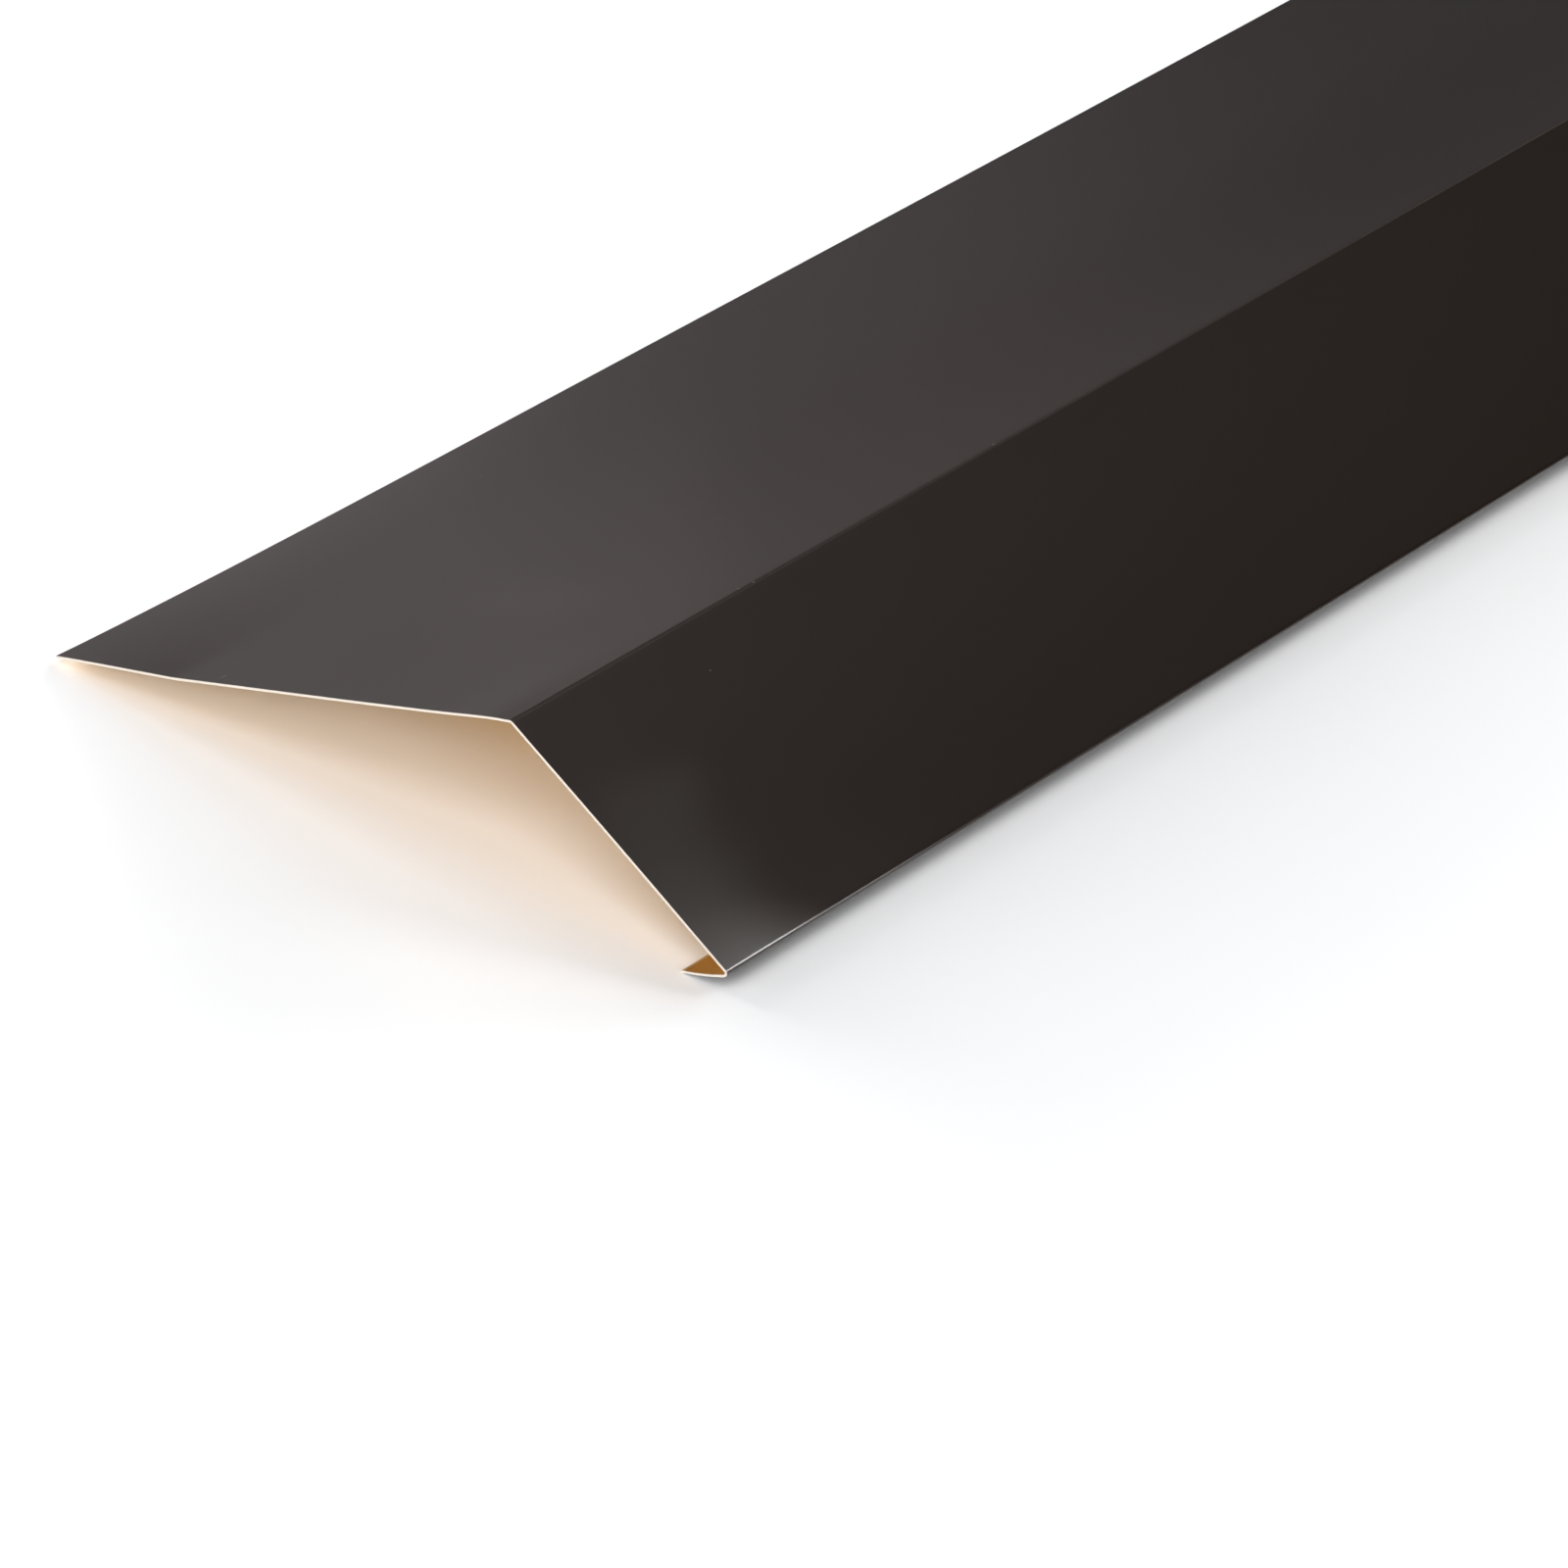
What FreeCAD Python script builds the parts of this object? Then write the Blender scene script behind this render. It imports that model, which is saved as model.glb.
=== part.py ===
# Eaves flashing: one prepainted steel sheet, folded lengthwise.
#
# Across the section, from the roof outwards:
#   flange   a flat strip that lies on the roof deck, with a plain cut free edge
#   ridge    the long bend between flange and leg
#   leg      the strip that hangs in front of the fascia
#   fold     the sharp lower bend, where water drips off
#   lip      the narrow strip folded back under the leg, very slightly bowed
#
# The sheet lies painted side up as it comes to rest on a floor: on the
# flange's free edge and on the lip.  X is the width (flange at -X, leg at +X),
# Y the length, Z up.  The origin is the middle of the footprint, on the floor.
# One corner of the flange, at the -Y end, is bent up by about a millimetre.

import FreeCAD, Part
import math
import os

V = FreeCAD.Vector

# ---- driving dimensions (mm, degrees) ---------------------------------------
LENGTH = 2000.0          # along the eaves
SHEET_T = 0.5            # sheet thickness, paint included
FLANGE_W = 100.0         # free edge to the outer corner of the ridge
LEG_W = 62.0             # outer corner of the ridge to that of the lower fold
LIP_W = 11.0             # outer corner of the lower fold to the lip's tip
RIDGE_ANGLE = 134.5      # between flange and leg
LIP_ANGLE = 47.0         # between leg and lip
RIDGE_R_IN = 0.8         # inner bend radius at the ridge
FOLD_R_IN = 0.35         # inner bend radius at the lower fold
LIP_BOW_R = 50.0         # the lip is an arc of this outer radius

CORNER_W = 26.5          # bent corner: from the free edge to its crease
CORNER_L = 100.0         # length over which the bend fades out
CORNER_LIFT = 1.20       # how far the corner's tip is lifted

# ---- derived ----------------------------------------------------------------
RIDGE_R = RIDGE_R_IN + SHEET_T
FOLD_R = FOLD_R_IN + SHEET_T
RIDGE_TURN = math.radians(180.0 - RIDGE_ANGLE)
LIP_ARC = LIP_W - FOLD_R / math.tan(math.radians(LIP_ANGLE) / 2.0)
LIP_TURN = LIP_ARC / LIP_BOW_R
FOLD_TURN = math.radians(180.0 - LIP_ANGLE) - LIP_TURN / 2.0


def heading(a):
    return V(math.cos(a), 0.0, math.sin(a))


def inward(a):
    """Unit vector from the painted face into the sheet, for a run of heading a."""
    return V(math.sin(a), 0.0, -math.cos(a))


def section_runs(tilt):
    """The painted face's line, as runs (kind, start, end, heading at start,
    heading at end, radius).  All its bends turn the same way."""
    runs = []
    p = V(0, 0, 0)
    a = tilt
    ridge_tan = RIDGE_R * math.tan(RIDGE_TURN / 2.0)
    fold_tan = FOLD_R * math.tan(FOLD_TURN / 2.0)
    plan = [
        ("line", FLANGE_W - ridge_tan),
        ("arc", RIDGE_R, RIDGE_TURN),
        ("line", LEG_W - ridge_tan - fold_tan),
        ("arc", FOLD_R, FOLD_TURN),
        ("arc", LIP_BOW_R, LIP_TURN),
    ]
    for step in plan:
        if step[0] == "line":
            q = p + heading(a) * step[1]
            runs.append(("line", p, q, a, a, 0.0))
        else:
            r, turn = step[1], step[2]
            centre = p + inward(a) * r
            b = a - turn
            q = centre - inward(b) * r
            runs.append(("arc", p, q, a, b, r))
            a = b
        p = q
    return runs


def lowest(runs):
    """Heights of the flange's free edge and of the lip's lowest line."""
    free = (runs[0][1] + inward(runs[0][3]) * SHEET_T).z
    kind, p, q, a, b, r = runs[-1]
    centre = p + inward(a) * r
    low = min(p.z, q.z)
    # the arc passes straight below its centre where its heading is -180 degrees
    if b <= -math.pi <= a:
        low = min(low, centre.z - r)
    return free, low


def rest_tilt():
    lo, hi = 0.0, math.radians(40.0)
    for _ in range(80):
        mid = 0.5 * (lo + hi)
        free, lip = lowest(section_runs(mid))
        if lip < free:
            lo = mid
        else:
            hi = mid
    return 0.5 * (lo + hi)


TILT = rest_tilt()
RUNS = section_runs(TILT)


def edge(run, inset):
    kind, p, q, a, b, r = run
    p1 = p + inward(a) * inset
    q1 = q + inward(b) * inset
    if kind == "line":
        return Part.LineSegment(p1, q1).toShape()
    centre = p + inward(a) * r
    m = 0.5 * (a + b)
    m1 = centre - inward(m) * (r - inset)
    return Part.Arc(p1, m1, q1).toShape()


# ---- the folded section, placed on the floor --------------------------------
outer = [edge(r, 0.0) for r in RUNS]
inner = [edge(r, SHEET_T) for r in reversed(RUNS)]
tip_cut = Part.LineSegment(RUNS[-1][2], RUNS[-1][2] + inward(RUNS[-1][4]) * SHEET_T).toShape()
free_cut = Part.LineSegment(RUNS[0][1] + inward(TILT) * SHEET_T, RUNS[0][1]).toShape()
wire = Part.Wire(Part.__sortEdges__(outer + [tip_cut] + inner + [free_cut]))
profile = Part.Face(wire)

box = profile.BoundBox
x_low = box.XMin - CORNER_LIFT * math.sin(TILT)      # where the bent corner reaches
shift = V(-0.5 * (x_low + box.XMax), -0.5 * LENGTH, -box.ZMin)
profile.translate(shift)
sheet = profile.extrude(V(0, LENGTH, 0))

# ---- the bent corner ---------------------------------------------------------
# A strip of the flange between its free edge and a crease along the sheet is
# turned up at the -Y end; the lift dies away as a cubic along the free edge.
base = RUNS[0][1] + shift            # free edge, painted face, -Y end
along = heading(TILT)
down = inward(TILT)


def at(u, y, drop):
    """u across the flange, y from the -Y end, drop below the painted face."""
    return base + along * u + V(0, y, 0) + down * drop


def strip_face(drop):
    """Painted or back face of the lifted strip."""
    surface = Part.BezierSurface()
    surface.increase(3, 1)
    lift = [CORNER_LIFT, 0.0, 0.0, 0.0]
    for i in range(4):
        y = CORNER_L * i / 3.0
        surface.setPole(i + 1, 1, at(0.0, y, drop - lift[i]))
        surface.setPole(i + 1, 2, at(CORNER_W, y, drop))
    return surface.toShape()


def flat_quad(a, b, c, d):
    return Part.Face(Part.makePolygon([a, b, c, d, a]))


top = strip_face(0.0)
back = strip_face(SHEET_T)


def edge_at(face, test):
    return [e for e in face.Edges if all(test(v.Point) for v in e.Vertexes)][0]


def on_free(p):
    return abs((p - base).dot(along)) < 1e-4


free_top = edge_at(top, on_free)
free_back = edge_at(back, on_free)
near_free = Part.LineSegment(at(0, 0, -CORNER_LIFT), at(0, 0, SHEET_T - CORNER_LIFT)).toShape()
far_free = Part.LineSegment(at(0, CORNER_L, 0), at(0, CORNER_L, SHEET_T)).toShape()
free_face = Part.Face(Part.Wire(Part.__sortEdges__([free_top, far_free, free_back, near_free])))
crease_face = flat_quad(at(CORNER_W, 0, 0), at(CORNER_W, CORNER_L, 0), at(CORNER_W, CORNER_L, SHEET_T), at(CORNER_W, 0, SHEET_T))
near_face = flat_quad(at(0, 0, -CORNER_LIFT), at(CORNER_W, 0, 0), at(CORNER_W, 0, SHEET_T), at(0, 0, SHEET_T - CORNER_LIFT))
far_face = flat_quad(at(0, CORNER_L, 0), at(CORNER_W, CORNER_L, 0), at(CORNER_W, CORNER_L, SHEET_T), at(0, CORNER_L, SHEET_T))
shell = Part.makeShell([top, back, free_face, crease_face, near_face, far_face])
shell.sewShape()
strip = Part.makeSolid(shell)
if strip.Volume < 0:
    strip.reverse()

cutter = Part.makeBox(CORNER_W + 2.0, CORNER_L + 2.0, 6.0)
cutter.translate(V(-2.0, -2.0, -3.0))
cutter.rotate(V(0, 0, 0), V(0, 1, 0), -math.degrees(TILT))
cutter.translate(base)
sheet = sheet.cut(cutter).fuse(strip).removeSplitter()

solid = sheet.Solids[0] if len(sheet.Solids) == 1 else None
if solid is None or not solid.isValid():
    raise SystemExit("the sheet did not come out as one valid solid")

os.makedirs("parts", exist_ok=True)
solid.exportStep("parts/flashing_sheet.step")

bb = solid.BoundBox
print("tilt %.3f deg, box %.3f..%.3f, %.1f..%.1f, %.4f..%.3f" % (
    math.degrees(TILT), bb.XMin, bb.XMax, bb.YMin, bb.YMax, bb.ZMin, bb.ZMax))
print("volume %.1f mm3, flat blank width %.2f mm, faces %d" % (
    solid.Volume, solid.Volume / LENGTH / SHEET_T, len(solid.Faces)))
for name, drop in (("flange top", 0.0), ("flange underside", SHEET_T)):
    p = base + along * 0.5 * FLANGE_W + down * drop
    print("%-16s middle (%.4f, 0, %.4f)" % (name, p.x, p.z))
print("flange normal down (%.6f, 0, %.6f)" % (down.x, down.z))
for name, run in zip(("flange", "ridge", "leg", "fold", "lip"), RUNS):
    p, q = run[1] + shift, run[2] + shift
    print("%-7s (%.3f, %.3f) to (%.3f, %.3f) heading %.2f to %.2f" % (
        name, p.x, p.z, q.x, q.z, math.degrees(run[3]), math.degrees(run[4])))
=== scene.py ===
"""Eaves flashing: one prepainted, folded steel sheet on a plain white floor.

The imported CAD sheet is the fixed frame.  A finer mesh of the same sheet stands
for it here: the same folded section, with the bent corner, the slight unevenness
of rolled sheet, bevelled cut edges, and paint, back coat and bare cut edge as
separate materials.
"""
import math

import bpy
import numpy as np
from mathutils import Matrix, Vector


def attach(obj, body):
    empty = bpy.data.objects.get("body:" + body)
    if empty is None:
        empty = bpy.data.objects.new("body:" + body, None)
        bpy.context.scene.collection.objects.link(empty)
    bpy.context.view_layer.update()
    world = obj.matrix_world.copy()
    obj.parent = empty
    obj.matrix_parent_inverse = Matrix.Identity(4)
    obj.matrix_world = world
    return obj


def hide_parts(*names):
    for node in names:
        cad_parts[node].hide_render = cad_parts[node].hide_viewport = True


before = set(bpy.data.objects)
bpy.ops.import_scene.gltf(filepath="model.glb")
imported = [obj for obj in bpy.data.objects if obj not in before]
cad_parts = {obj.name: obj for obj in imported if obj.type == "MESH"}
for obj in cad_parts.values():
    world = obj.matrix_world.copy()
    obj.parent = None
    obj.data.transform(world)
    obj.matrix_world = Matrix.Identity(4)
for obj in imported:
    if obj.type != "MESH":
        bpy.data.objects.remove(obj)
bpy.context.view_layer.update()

MM = 0.001

# =============================================================================
# The folded section, in millimetres (the same dimensions as the CAD sheet)
# =============================================================================
LENGTH = 2000.0
SHEET_T = 0.5
FLANGE_W = 100.0
LEG_W = 62.0
LIP_W = 11.0
RIDGE_ANGLE = 134.5
LIP_ANGLE = 47.0
RIDGE_R_IN = 0.8
FOLD_R_IN = 0.35
LIP_BOW_R = 50.0
CORNER_LIFT = 1.20
BEVEL = 0.05                      # broken edge of the sheared sheet
LIP_EDGE_STRIP = 0.65                       # a strip on the back beside the lip's sheared edge, in the cut edge's colour
RIDGE_DROP = 0.55                 # how far the ridge sinks where its bend opens a little

RIDGE_R = RIDGE_R_IN + SHEET_T
FOLD_R = FOLD_R_IN + SHEET_T
RIDGE_TURN = math.radians(180.0 - RIDGE_ANGLE)
LIP_ARC = LIP_W - FOLD_R / math.tan(math.radians(LIP_ANGLE) / 2.0)
LIP_TURN = LIP_ARC / LIP_BOW_R
FOLD_TURN = math.radians(180.0 - LIP_ANGLE) - LIP_TURN / 2.0
RIDGE_TAN = RIDGE_R * math.tan(RIDGE_TURN / 2.0)
FOLD_TAN = FOLD_R * math.tan(FOLD_TURN / 2.0)

# runs of the painted face's line: (length, radius or 0 for straight)
PLAN = [
    (FLANGE_W - RIDGE_TAN, 0.0),
    (RIDGE_R * RIDGE_TURN, RIDGE_R),
    (LEG_W - RIDGE_TAN - FOLD_TAN, 0.0),
    (FOLD_R * FOLD_TURN, FOLD_R),
    (LIP_ARC, LIP_BOW_R),
]
S_FLANGE = PLAN[0][0]                          # where the ridge bend begins
S_LEG = S_FLANGE + PLAN[1][0]                  # where the leg begins
S_FOLD = S_LEG + PLAN[2][0]                    # where the lower fold begins
S_LIP = S_FOLD + PLAN[3][0]                    # where the lip begins
S_END = S_LIP + PLAN[4][0]                     # the lip's tip


def trace(s, tilt):
    """Point and outward normal of the painted face at developed width s."""
    x = z = 0.0
    a = tilt
    left = s
    for n, (length, r) in enumerate(PLAN):
        step = length if (left > length and n < len(PLAN) - 1) else left
        if r == 0.0:
            x += math.cos(a) * step
            z += math.sin(a) * step
        else:
            b = a - step / r
            x += r * (math.sin(a) - math.sin(b))
            z += r * (math.cos(b) - math.cos(a))
            a = b
        left -= step
        if left <= 0.0:
            break
    return x, z, -math.sin(a), math.cos(a)


def rest_tilt():
    """The tilt at which the free edge and the lip both touch the floor."""
    lo, hi = 0.0, math.radians(40.0)
    for _ in range(60):
        mid = 0.5 * (lo + hi)
        x, z, nx, nz = trace(0.0, mid)
        free = z - nz * SHEET_T
        lip = min(trace(S_LIP + (S_END - S_LIP) * k / 60.0, mid)[1] for k in range(61))
        if lip < free:
            lo = mid
        else:
            hi = mid
    return 0.5 * (lo + hi)


TILT = rest_tilt()
SAMPLES = [trace(S_END * k / 3000.0, TILT) for k in range(3001)]
X_LOW = SAMPLES[0][0] - CORNER_LIFT * math.sin(TILT)
X_HIGH = max(p[0] for p in SAMPLES)
Z_LOW = min(min(p[1] for p in SAMPLES), SAMPLES[0][1] - SAMPLES[0][3] * SHEET_T)
SHIFT_X = -0.5 * (X_LOW + X_HIGH)
SHIFT_Z = -Z_LOW


# =============================================================================
# How the real sheet leaves the plain section (mm, along the painted face's
# normal); t is the distance from the near end, s the developed width
# =============================================================================
def smooth(x):
    x = np.clip(x, 0.0, 1.0)
    return x * x * (3.0 - 2.0 * x)


def bump(x, centre, width):
    return np.exp(-((x - centre) / width) ** 2)


def rise(s, t):
    """Height above the plain section.  Never negative at the free edge, which
    rests on the floor."""
    on_flange = smooth((S_FLANGE - s) / 9.0)
    # the bent corner: a crease 26 mm in from the free edge, sharp at the near
    # end and softer as it runs out
    lift = 1.12 * np.clip(1.0 - t / 158.0, 0.0, 1.0) ** 3.0 + 0.07 * np.exp(-t / 4.0)
    soft = 0.35 + 0.06 * t
    k = (26.0 - s) / soft
    ramp = soft * np.logaddexp(0.0, k) / 26.0
    ramp0 = soft * np.logaddexp(0.0, 26.0 / soft) / 26.0
    w = lift * ramp / ramp0
    w = w + 0.05 * (1.0 - np.exp(-np.clip(26.0 - s, 0.0, 40.0) / 5.0)) * np.exp(-t / 30.0)
    # behind the crease the end sags a little
    sag = smooth(s / 26.0) * (1.0 - smooth((s - 58.0) / 38.0))
    w = w - 0.14 * sag * np.exp(-t / 45.0)
    # the flange bellies up a little behind its sheared free edge
    belly = (1.0 - np.exp(-s / 8.0)) * (1.0 - smooth((s - 10.0) / 75.0))
    w = w + belly * (0.06 + 0.09 * smooth(t / 40.0) * (1.0 - smooth((t - 150.0) / 200.0)) + 0.01 * np.sin(t / 57.0))
    # a shallow swell beside the ridge, at the near end
    w = w + 0.17 * bump(s, 94.5, 6.5) * smooth((S_FLANGE - s) / 3.0) * np.exp(-t / 28.0)
    # a faint dimple where the paint catches more light
    w = w + 0.035 * bump(s, 66.0, 15.0) * bump(t, 62.0, 20.0)
    # long slow waves of rolled sheet; they lift the free edge off the floor
    free = np.exp(-s / 45.0) * on_flange
    w = w + free * 0.50 * bump(t, 560.0, 130.0)
    w = w + free * 0.22 * bump(t, 1010.0, 150.0)
    w = w + free * 0.16 * bump(t, 1450.0, 120.0)
    # the leg bulges a little, the ridge opens slightly further along
    on_leg = smooth((s - S_LEG) / 26.0) * smooth((S_FOLD - s) / 24.0)
    w = w + on_leg * (0.09 + 0.02 * np.sin(t / 120.0 + 1.0))
    over = smooth(t / 330.0)
    hill = np.clip(1.0 - np.abs(s - 0.5 * (S_FLANGE + S_LEG)) / 60.0, 0.0, 1.0)
    w = w - RIDGE_DROP * over * hill * hill * (3.0 - 2.0 * hill)
    return w


# =============================================================================
# Mesh
# =============================================================================
def spread(a, b, step):
    n = max(1, int(math.ceil((b - a) / step)))
    return list(np.linspace(a, b, n + 1)[:-1])


def widths():
    s = [BEVEL, 0.25, 0.6, 1.1, 1.8]
    s += spread(2.6, 22.0, 1.5)
    s += spread(22.0, 32.0, 0.8)
    s += spread(32.0, 88.0, 2.8)
    s += spread(88.0, S_FLANGE, 1.2)
    s += spread(S_FLANGE, S_LEG, (S_LEG - S_FLANGE) / 10.0 + 1e-9)
    s += spread(S_LEG, S_LEG + 6.0, 1.2)
    s += spread(S_LEG + 6.0, S_FOLD - 4.0, 3.2)
    s += spread(S_FOLD - 4.0, S_FOLD, 1.0)
    s += spread(S_FOLD, S_LIP, (S_LIP - S_FOLD) / 26.0 + 1e-9)
    s += spread(S_LIP, S_END - LIP_EDGE_STRIP, 0.9)
    s += [S_END - LIP_EDGE_STRIP, S_END - BEVEL]
    return np.array(s)


def stations():
    t = [BEVEL, 0.3, 0.7, 1.3, 2.0]
    t += spread(3.0, 80.0, 1.8)
    t += spread(80.0, 200.0, 4.0)
    t += spread(200.0, 600.0, 8.0)
    t += spread(600.0, LENGTH - 6.0, 14.0)
    t += [LENGTH - 6.0, LENGTH - 2.0, LENGTH - BEVEL]
    return np.array(t)


def surface(s, t, depth):
    """Points in metres; s, t and depth are arrays of one shape."""
    shape = s.shape
    base = np.array([trace(float(v), TILT) for v in s.ravel()]).reshape(shape + (4,))
    off = rise(s, t) - depth
    x = base[..., 0] + SHIFT_X + base[..., 2] * off
    z = base[..., 1] + SHIFT_Z + base[..., 3] * off
    y = t - 0.5 * LENGTH
    return np.stack([x, y, z], -1) * MM


def sheet_mesh():
    s = widths()
    t = stations()
    ns, nt = len(s), len(t)
    base = np.array([trace(float(v), TILT) for v in s])          # ns x 4
    S, Tt = np.meshgrid(s, t, indexing="ij")
    lift = rise(S, Tt)

    def face_points(depth):
        off = lift - depth
        x = base[:, None, 0] + SHIFT_X + base[:, None, 2] * off
        z = base[:, None, 1] + SHIFT_Z + base[:, None, 3] * off
        return np.stack([x, Tt - 0.5 * LENGTH, z], -1).reshape(-1, 3) * MM

    painted = face_points(0.0)
    back = face_points(SHEET_T)

    # the perimeter, walked once round, as (i, j)
    loop = [(i, 0) for i in range(ns)]
    loop += [(ns - 1, j) for j in range(1, nt)]
    loop += [(i, nt - 1) for i in range(ns - 2, -1, -1)]
    loop += [(0, j) for j in range(nt - 2, 0, -1)]
    rs = np.array([0.0 if i == 0 else (S_END if i == ns - 1 else s[i]) for i, j in loop])
    rt = np.array([0.0 if j == 0 else (LENGTH if j == nt - 1 else t[j]) for i, j in loop])
    ring1 = surface(rs, rt, np.full(len(loop), BEVEL))
    ring2 = surface(rs, rt, np.full(len(loop), SHEET_T - BEVEL))

    verts = np.concatenate([painted, back, ring1, ring2])
    n0, n1 = 0, ns * nt
    n2, n3 = 2 * ns * nt, 2 * ns * nt + len(loop)
    faces, kinds = [], []

    def grid(i, j):
        return i * nt + j

    for i in range(ns - 1):
        for j in range(nt - 1):
            a, b, c, d = grid(i, j), grid(i + 1, j), grid(i + 1, j + 1), grid(i, j + 1)
            faces.append((n0 + a, n0 + b, n0 + c, n0 + d))
            kinds.append(0)
            faces.append((n1 + d, n1 + c, n1 + b, n1 + a))
            kinds.append(2 if i == ns - 2 else 1)
    m = len(loop)
    for k in range(m):
        q = (k + 1) % m
        p0, p1 = grid(*loop[k]), grid(*loop[q])
        faces.append((n0 + p1, n0 + p0, n2 + k, n2 + q))
        kinds.append(2)
        faces.append((n2 + q, n2 + k, n3 + k, n3 + q))
        kinds.append(2)
        faces.append((n3 + q, n3 + k, n1 + p0, n1 + p1))
        kinds.append(2)

    mesh = bpy.data.meshes.new("flashing_sheet_looks")
    mesh.from_pydata(verts.tolist(), [], faces)
    mesh.update()
    mesh.polygons.foreach_set("material_index", kinds)
    mesh.polygons.foreach_set("use_smooth", [True] * len(faces))
    mesh.set_sharp_from_angle(angle=math.radians(28.0))

    # developed width and length as a UV map, in metres
    flat = np.zeros((len(verts), 2))
    flat[:ns * nt] = np.stack([S.ravel(), Tt.ravel()], -1)
    flat[ns * nt:2 * ns * nt] = np.stack([S.ravel(), Tt.ravel()], -1)
    flat[n2:n3] = np.stack([rs, rt], -1)
    flat[n3:] = np.stack([rs, rt], -1)
    uv = mesh.uv_layers.new(name="developed")
    index = np.empty(len(mesh.loops), dtype=np.int32)
    mesh.loops.foreach_get("vertex_index", index)
    uv.data.foreach_set("uv", (flat[index] * MM).astype(np.float32).ravel())
    mesh.validate()
    return mesh


# =============================================================================
# Materials
# =============================================================================
class Nodes:
    """A short way to write node trees."""

    def __init__(self, name):
        self.mat = bpy.data.materials.new(name)
        self.mat.use_nodes = True
        self.tree = self.mat.node_tree
        self.tree.nodes.clear()
        self.out = self.tree.nodes.new("ShaderNodeOutputMaterial")
        self.shader = self.tree.nodes.new("ShaderNodeBsdfPrincipled")
        self.link(self.shader.outputs["BSDF"], self.out.inputs["Surface"])

    def link(self, a, b):
        self.tree.links.new(a, b)

    def new(self, kind, **sockets):
        n = self.tree.nodes.new(kind)
        for key, value in sockets.items():
            if hasattr(n, key):
                setattr(n, key, value)
        return n

    def put(self, socket, value):
        if hasattr(value, "is_output"):
            self.link(value, socket)
        else:
            socket.default_value = value

    def math(self, op, a, b=0.0, c=0.0, clamp=False):
        n = self.tree.nodes.new("ShaderNodeMath")
        n.operation = op
        n.use_clamp = clamp
        self.put(n.inputs[0], a)
        self.put(n.inputs[1], b)
        if op in ("MULTIPLY_ADD", "SMOOTH_MIN"):
            self.put(n.inputs[2], c)
        return n.outputs[0]

    def object_coords(self, scale=(1.0, 1.0, 1.0), offset=(0.0, 0.0, 0.0)):
        tex = self.tree.nodes.new("ShaderNodeTexCoord")
        m = self.tree.nodes.new("ShaderNodeMapping")
        m.inputs["Scale"].default_value = scale
        m.inputs["Location"].default_value = offset
        self.link(tex.outputs["Object"], m.inputs["Vector"])
        return m.outputs["Vector"]

    def noise(self, vector, scale, detail=2.0, rough=0.5):
        n = self.tree.nodes.new("ShaderNodeTexNoise")
        self.link(vector, n.inputs["Vector"])
        n.inputs["Scale"].default_value = scale
        n.inputs["Detail"].default_value = detail
        n.inputs["Roughness"].default_value = rough
        return n.outputs["Fac"]

    def remap(self, value, a, b, c, d, smoothly=False):
        n = self.tree.nodes.new("ShaderNodeMapRange")
        if smoothly:
            n.interpolation_type = "SMOOTHSTEP"
        self.put(n.inputs["Value"], value)
        n.inputs["From Min"].default_value = a
        n.inputs["From Max"].default_value = b
        n.inputs["To Min"].default_value = c
        n.inputs["To Max"].default_value = d
        return n.outputs["Result"]

    def mix(self, fac, a, b):
        n = self.tree.nodes.new("ShaderNodeMix")
        n.data_type = "RGBA"
        self.put(n.inputs[0], fac)
        self.put(n.inputs[6], a)
        self.put(n.inputs[7], b)
        return n.outputs[2]

    def bump(self, height, strength, distance):
        n = self.tree.nodes.new("ShaderNodeBump")
        n.inputs["Strength"].default_value = strength
        n.inputs["Distance"].default_value = distance
        self.link(height, n.inputs["Height"])
        return n.outputs["Normal"]

    def developed(self, scale=(1.0, 1.0, 1.0), offset=(0.0, 0.0, 0.0)):
        """Developed width and length of the sheet, in metres."""
        uv = self.tree.nodes.new("ShaderNodeUVMap")
        uv.uv_map = "developed"
        m = self.tree.nodes.new("ShaderNodeMapping")
        m.inputs["Scale"].default_value = scale
        m.inputs["Location"].default_value = offset
        self.link(uv.outputs["UV"], m.inputs["Vector"])
        return m.outputs["Vector"]

    def spot(self, vector, point, radius):
        """1 at a point, falling to 0 at radius (metres)."""
        d = self.tree.nodes.new("ShaderNodeVectorMath")
        d.operation = "DISTANCE"
        self.link(vector, d.inputs[0])
        d.inputs[1].default_value = point
        return self.remap(d.outputs["Value"], radius, radius * 0.45, 0.0, 1.0)

    def patch(self, vector, point, radius):
        """1 at a point, fading softly to 0 at radius (metres)."""
        d = self.tree.nodes.new("ShaderNodeVectorMath")
        d.operation = "DISTANCE"
        self.link(vector, d.inputs[0])
        d.inputs[1].default_value = point
        return self.remap(d.outputs["Value"], radius, 0.0, 0.0, 1.0, smoothly=True)


PAINT_DARK = (0.0245, 0.0167, 0.0124, 1.0)
PAINT_LIGHT = (0.0273, 0.0187, 0.0140, 1.0)
ROUGH_LO, ROUGH_HI = 0.33, 0.35
# (developed width, distance from the near end, radius), mm
NICKS = ((99.2, 80.9, 0.32), (99.8, 85.4, 0.42), (99.3, 175.4, 0.42), (110.5, 56.5, 0.22), (14.9, 123.7, 0.2))


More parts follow.
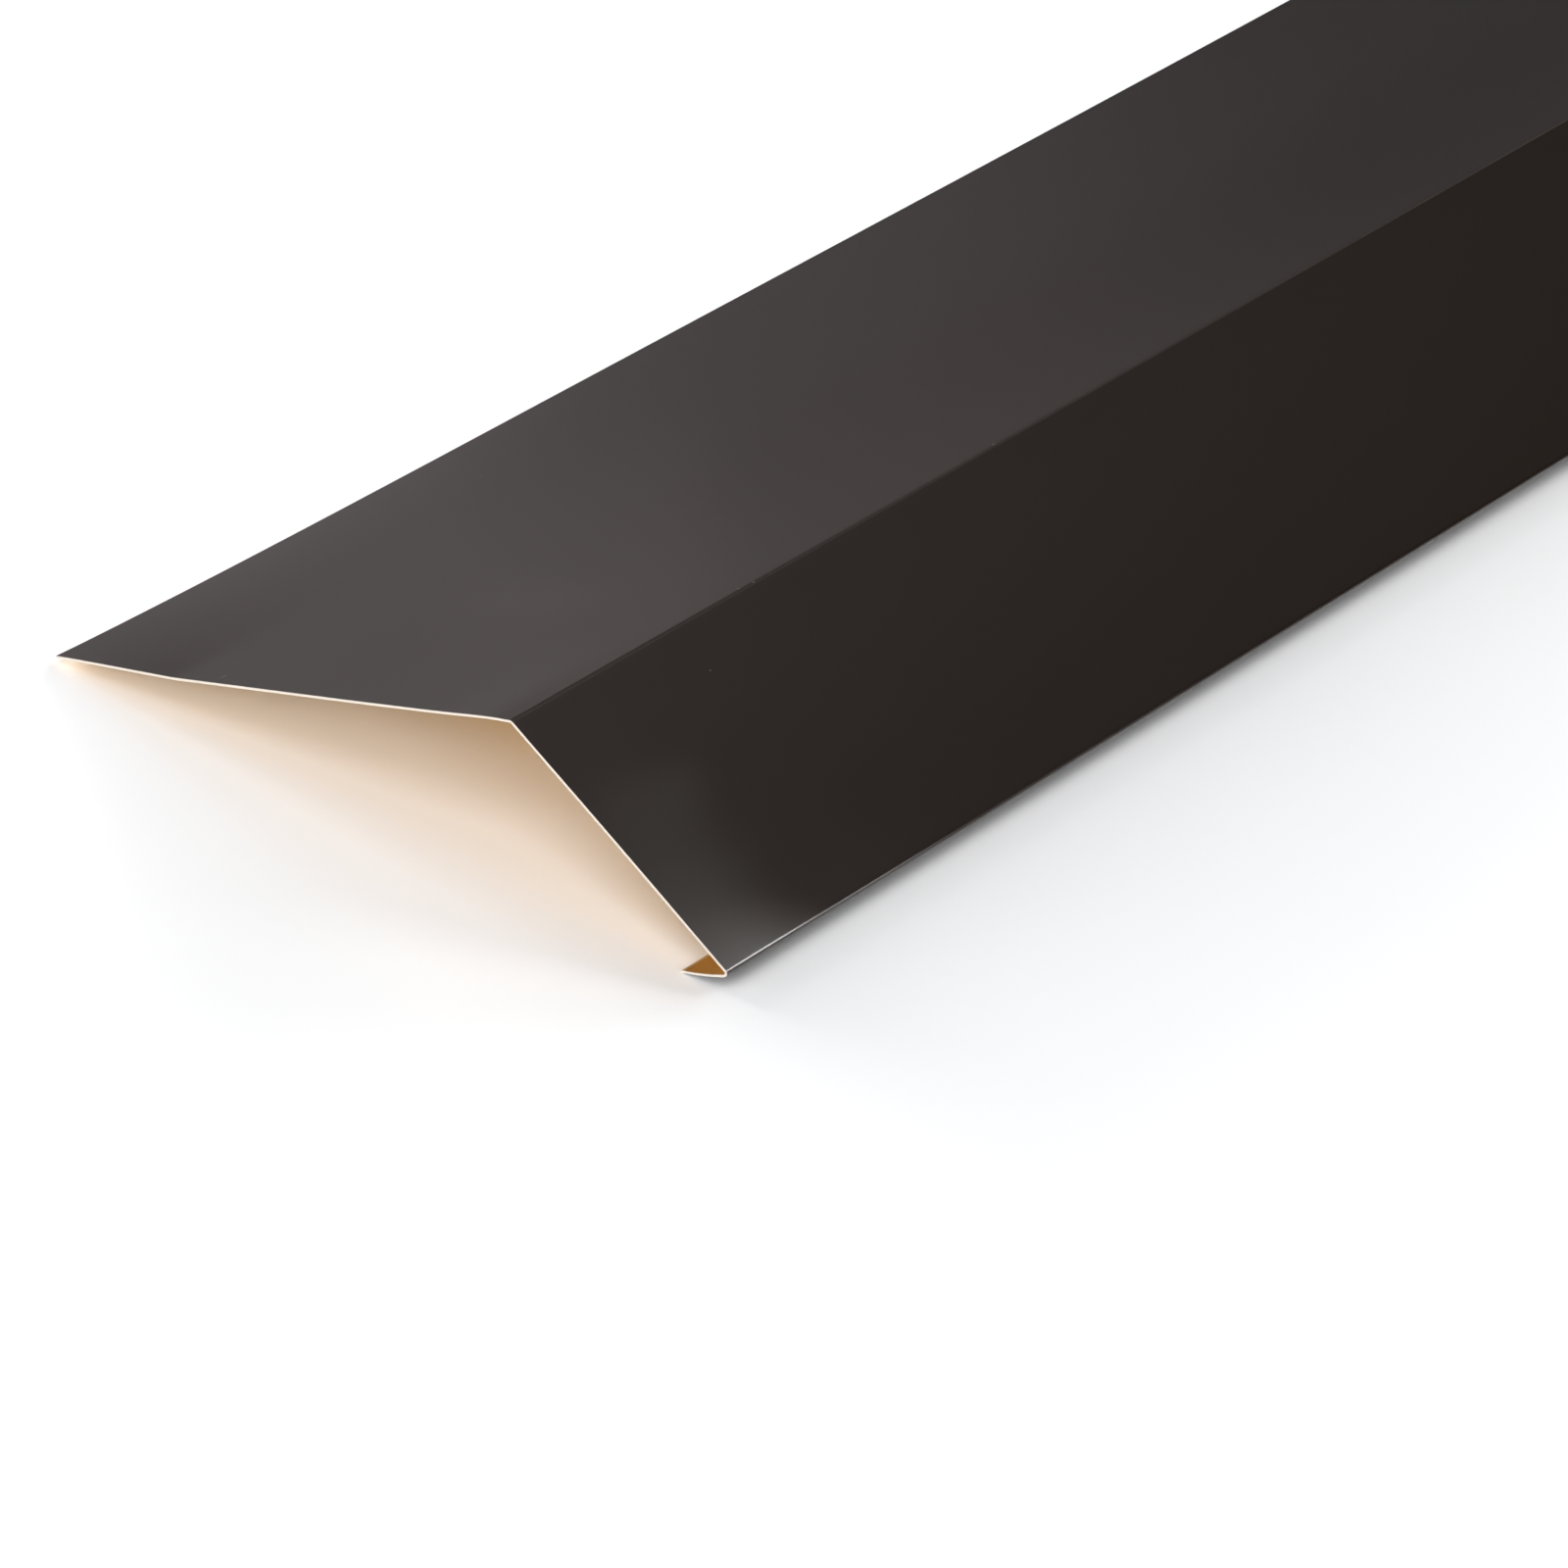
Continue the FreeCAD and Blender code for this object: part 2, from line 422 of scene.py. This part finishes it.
def paint_material():
    n = Nodes("matt_paint")
    at = n.object_coords()
    along = n.object_coords(scale=(1.0, 0.12, 1.0))
    flat = n.developed()
    cloud = n.noise(along, 9.0, 3.0, 0.55)
    fine = n.noise(at, 2600.0, 2.0, 0.6)
    tone = n.mix(n.remap(cloud, 0.3, 0.7, 0.0, 1.0), PAINT_DARK, PAINT_LIGHT)
    # small nicks where the paint has come off the ridge, and a scuff at the end
    nicks = None
    for s, t, radius in NICKS:
        one = n.spot(flat, (s * MM, t * MM, 0.0), radius * MM)
        nicks = one if nicks is None else n.math("MAXIMUM", nicks, one)
    scuff_at = n.developed(scale=(1.0, 0.3, 1.0))
    scuff = n.spot(scuff_at, (34.9 * MM, 3.6 * 0.3 * MM, 0.0), 0.45 * MM)
    worn = n.math("MAXIMUM", nicks, n.math("MULTIPLY", scuff, 0.22))
    n.put(n.shader.inputs["Base Color"], n.mix(worn, tone, (0.34, 0.33, 0.31, 1.0)))
    n.put(n.shader.inputs["Roughness"], n.remap(cloud, 0.3, 0.7, ROUGH_LO, ROUGH_HI))
    # a patch on the flange where the paint reflects a little more, and painted shade beside the bent corner's
    # crease, where the paint reflects less
    # a patch where the paint reflects a little more light
    sheen_patch = n.patch(flat, (66.0 * MM, 62.0 * MM, 0.0), 22.0 * MM)
    # painted shade: a lower specular level along the bent corner's crease
    crease_shade = n.patch(flat, (20.0 * MM, 2.0 * MM, 0.0), 15.0 * MM)
    gloss = n.math("MULTIPLY_ADD", sheen_patch, n.remap(cloud, 0.3, 0.7, 0.10, 0.135), 0.5)
    n.put(n.shader.inputs["Specular IOR Level"], n.math("MULTIPLY_ADD", crease_shade, -0.045, gloss))
    n.shader.inputs["IOR"].default_value = 1.5
    n.put(n.shader.inputs["Normal"], n.bump(fine, 0.06, 0.00005))
    return n.mat


def back_material():
    n = Nodes("ochre_back_coat")
    at = n.object_coords()
    along = n.object_coords(scale=(1.0, 0.1, 1.0))
    cloud = n.noise(along, 14.0, 3.0, 0.55)
    fine = n.noise(at, 1800.0, 2.0, 0.6)
    tone = n.mix(n.remap(cloud, 0.3, 0.7, 0.0, 1.0), (0.76, 0.468, 0.140, 1.0), (0.82, 0.508, 0.163, 1.0))
    n.put(n.shader.inputs["Base Color"], tone)
    n.put(n.shader.inputs["Roughness"], n.remap(cloud, 0.3, 0.7, 0.42, 0.52))
    n.put(n.shader.inputs["Normal"], n.bump(fine, 0.08, 0.00005))
    return n.mat


def edge_material():
    n = Nodes("bare_cut_edge")
    at = n.object_coords(scale=(1.0, 1.0, 1.0))
    grain = n.noise(at, 3000.0, 2.0, 0.6)
    tone = n.mix(n.remap(grain, 0.3, 0.7, 0.0, 1.0), (0.92, 0.84, 0.75, 1.0), (0.97, 0.91, 0.83, 1.0))
    n.put(n.shader.inputs["Base Color"], tone)
    n.shader.inputs["Metallic"].default_value = 0.1
    n.put(n.shader.inputs["Roughness"], n.remap(grain, 0.3, 0.7, 0.38, 0.52))
    return n.mat


def floor_material():
    n = Nodes("white_floor")
    at = n.object_coords()
    cloud = n.noise(at, 3.0, 3.0, 0.5)
    tone = n.mix(n.remap(cloud, 0.3, 0.7, 0.0, 1.0), (0.86, 0.865, 0.875, 1.0), (0.88, 0.883, 0.89, 1.0))
    n.put(n.shader.inputs["Base Color"], tone)
    n.put(n.shader.inputs["Roughness"], n.remap(cloud, 0.3, 0.7, 0.28, 0.33))
    n.shader.inputs["Specular IOR Level"].default_value = 0.5
    return n.mat


# =============================================================================
# The piece
# =============================================================================
sheet = bpy.data.objects.new("flashing_sheet_looks", sheet_mesh())
bpy.context.scene.collection.objects.link(sheet)
for material in (paint_material(), back_material(), edge_material()):
    sheet.data.materials.append(material)
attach(sheet, "root")
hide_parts("flashing_sheet")

# =============================================================================
# Floor, light and camera
# =============================================================================
floor_mesh = bpy.data.meshes.new("floor")
R = 40.0
floor_mesh.from_pydata([(-R, -R, 0), (R, -R, 0), (R, R, 0), (-R, R, 0)], [], [(0, 1, 2, 3)])
floor = bpy.data.objects.new("floor", floor_mesh)
floor.data.materials.append(floor_material())
bpy.context.scene.collection.objects.link(floor)

world = bpy.data.worlds.new("studio")
world.use_nodes = True
world.node_tree.nodes["Background"].inputs["Color"].default_value = (1.0, 1.0, 1.0, 1.0)
world.node_tree.nodes["Background"].inputs["Strength"].default_value = 0.002
bpy.context.scene.world = world


def group_of(name, thing):
    group = bpy.data.collections.new(name)
    group.objects.link(thing)
    return group


SHEET_ONLY = group_of("lit_by_sheet_lights", sheet)
FLOOR_ONLY = group_of("lit_by_floor_lights", floor)


def area_light(name, place, target, size, strength, colour=(1.0, 1.0, 1.0), group=None, spread=180.0):
    """A square or rectangular soft light; strength is its radiance, spread in degrees."""
    data = bpy.data.lights.new(name, "AREA")
    data.shape = "RECTANGLE"
    data.size, data.size_y = size
    data.energy = strength * math.pi * size[0] * size[1]
    data.color = colour
    data.spread = math.radians(spread)
    lamp = bpy.data.objects.new(name, data)
    lamp.location = place
    way = Vector(target) - Vector(place)
    lamp.rotation_mode = "QUATERNION"
    lamp.rotation_quaternion = way.to_track_quat("-Z", "Y")
    lamp.visible_camera = False
    bpy.context.scene.collection.objects.link(lamp)
    if group is not None:
        lamp.light_linking.receiver_collection = group
    return lamp


def dome(azimuth, elevation, distance=1.8):
    """A place around the near part of the sheet; azimuth 0 is behind it, 90 at +X."""
    a, e = math.radians(azimuth), math.radians(elevation)
    return (distance * math.sin(a) * math.cos(e),
            DOME_Y + distance * math.cos(a) * math.cos(e),
            distance * math.sin(e))


DOME_Y = -0.85
FAR = 9.0
HEART = (0.0, DOME_Y, 0.0)
FOLD_END = (0.0745, -0.994, 0.004)
FOLD_LAMP = (0.1032, -0.938, 0.0348)
LEG_END = (0.069, -0.999, 0.007)
LEG_LAMP = (0.0763, -0.959, 0.03615)
LEG_UP = (0.057, -0.999, 0.013)
LEG_UP_LAMP = (0.0643, -0.959, 0.04215)

# large soft lights for the floor and, off the floor, for the inside of the sheet
area_light("floor_low_left", dome(-75, 10, FAR), HEART, (4.5, 1.5), 25.0, group=FLOOR_ONLY)
area_light("floor_front_low", dome(180, 20, FAR), HEART, (4.5, 2.75), 8.5, group=FLOOR_ONLY)
area_light("floor_front_left_low", dome(-150, 17, FAR), HEART, (4.0, 2.25), 8.0, group=FLOOR_ONLY)
area_light("floor_front_right", dome(130, 17, FAR), HEART, (4.0, 2.25), 12.5, group=FLOOR_ONLY)
area_light("floor_front_mid", dome(180, 35, FAR), HEART, (4.5, 4), 1.5, group=FLOOR_ONLY)
area_light("floor_back_low", dome(0, 12, FAR), HEART, (4.5, 2.75), 17.0, group=FLOOR_ONLY)
area_light("floor_side_left", dome(-90, 20, FAR), HEART, (4.5, 2.75), 15.0, group=FLOOR_ONLY)
area_light("floor_side_front", dome(-120, 20, FAR), HEART, (4.5, 2.75), 0.55, group=FLOOR_ONLY)
area_light("floor_front_high", dome(180, 50, FAR), HEART, (4.5, 4), 5.0, group=FLOOR_ONLY)
area_light("floor_back", dome(20, 35, FAR), HEART, (4.5, 4), 4.8, group=FLOOR_ONLY)

# strips low at the left, whose reflection lies along the flange
WARM = (1.12, 1.0, 0.965)
area_light("left_high_near", (-0.6, -0.3, 0.375), (0.4, -0.3, 0.375), (0.3, 0.25), 0.93, WARM, SHEET_ONLY)
area_light("left_high_far", (-0.6, 0.0, 0.375), (0.4, 0.0, 0.375), (0.3, 0.25), 0.51, (1.26, 1.0, 0.93), SHEET_ONLY)
area_light("left_low_near", (-0.6, -0.3, 0.0525), (0.4, -0.3, 0.0525), (0.3, 0.095), 1.01, WARM, SHEET_ONLY)
area_light("left_low_far", (-0.6, 0.0, 0.0525), (0.4, 0.0, 0.0525), (0.3, 0.095), 0.21, WARM, SHEET_ONLY)
area_light("left_close", (-0.132, -0.765, 0.066), (0.013, -0.965, 0.029), (0.06, 0.06), 0.13, WARM, SHEET_ONLY)
area_light("overhead", (0.0, 0.0, 5.0), (0.0, 0.0, 0.0), (3.5, 3.5), 0.22, group=SHEET_ONLY)
area_light("front_high", dome(180, 45, 6.0), HEART, (3.0, 2.6), 0.8, group=SHEET_ONLY)
area_light("behind_high", dome(0, 55), HEART, (0.9, 0.8), 1.18, (1.20, 1.0, 0.935), SHEET_ONLY)
area_light("behind", dome(0, 35), HEART, (0.9, 0.8), 0.12, (1.05, 1.0, 0.87), SHEET_ONLY)

# right side: the line of light along the fold and the glow low on the leg
area_light("right_mid", (0.32, -0.65, 0.175), (-0.68, -0.65, 0.175), (0.2, 0.15), 2.4, WARM, SHEET_ONLY)
area_light("fold_glint", FOLD_LAMP, FOLD_END, (0.02, 0.02), 0.74, group=SHEET_ONLY, spread=24.0)
area_light("fold_glint_far", (0.1285, -0.882, 0.030), (0.0745, -0.962, 0.004), (0.03, 0.03), 0.20, group=SHEET_ONLY, spread=30.0)
area_light("leg_glow", LEG_LAMP, LEG_END, (0.03, 0.02), 0.027, group=SHEET_ONLY, spread=64.0)
area_light("leg_glow_high", LEG_UP_LAMP, LEG_UP, (0.04, 0.02), 0.031, group=SHEET_ONLY, spread=64.0)

# in front, level with the sheet: only its cut end faces these
area_light("cut_end", dome(180, 3), HEART, (0.9, 0.15), 30.0, (1.0, 0.955, 0.90), SHEET_ONLY)
area_light("ridge_sheen", dome(-18, 22), HEART, (0.5, 0.5), 0.6, WARM, SHEET_ONLY)

# light that has found its way under the sheet
area_light("under_flange", (-0.025, -0.895, 0.001), (-0.032, -0.895, 0.1), (0.05, 0.13), 0.85, group=SHEET_ONLY)

camera = bpy.data.objects.new("camera", bpy.data.cameras.new("camera"))
bpy.context.scene.collection.objects.link(camera)
RIGHT = Vector((0.8319035296795435, 0.5156381191480007, 0.20507034741334296))
DOWN = Vector((0.40323080367802877, -0.3078232234146278, -0.8617713049828238))
AHEAD = Vector((-0.3812367194695286, 0.7996012713897723, -0.464000399267039))
PLACE = Vector((0.9623610, -2.8569990, 1.1226054))
turn = Matrix((RIGHT, -DOWN, -AHEAD)).transposed().to_4x4()
camera.matrix_world = Matrix.Translation(PLACE) @ turn
camera.data.sensor_fit = "HORIZONTAL"
camera.data.sensor_width = 36.0
camera.data.lens = 13205.8617 * 36.0 / 1600.0
camera.data.clip_start = 0.05
camera.data.clip_end = 200.0
bpy.context.scene.camera = camera

view = bpy.context.scene.view_settings
view.view_transform = "Standard"
view.look = "None"
view.exposure = 0.0
view.gamma = 1.0
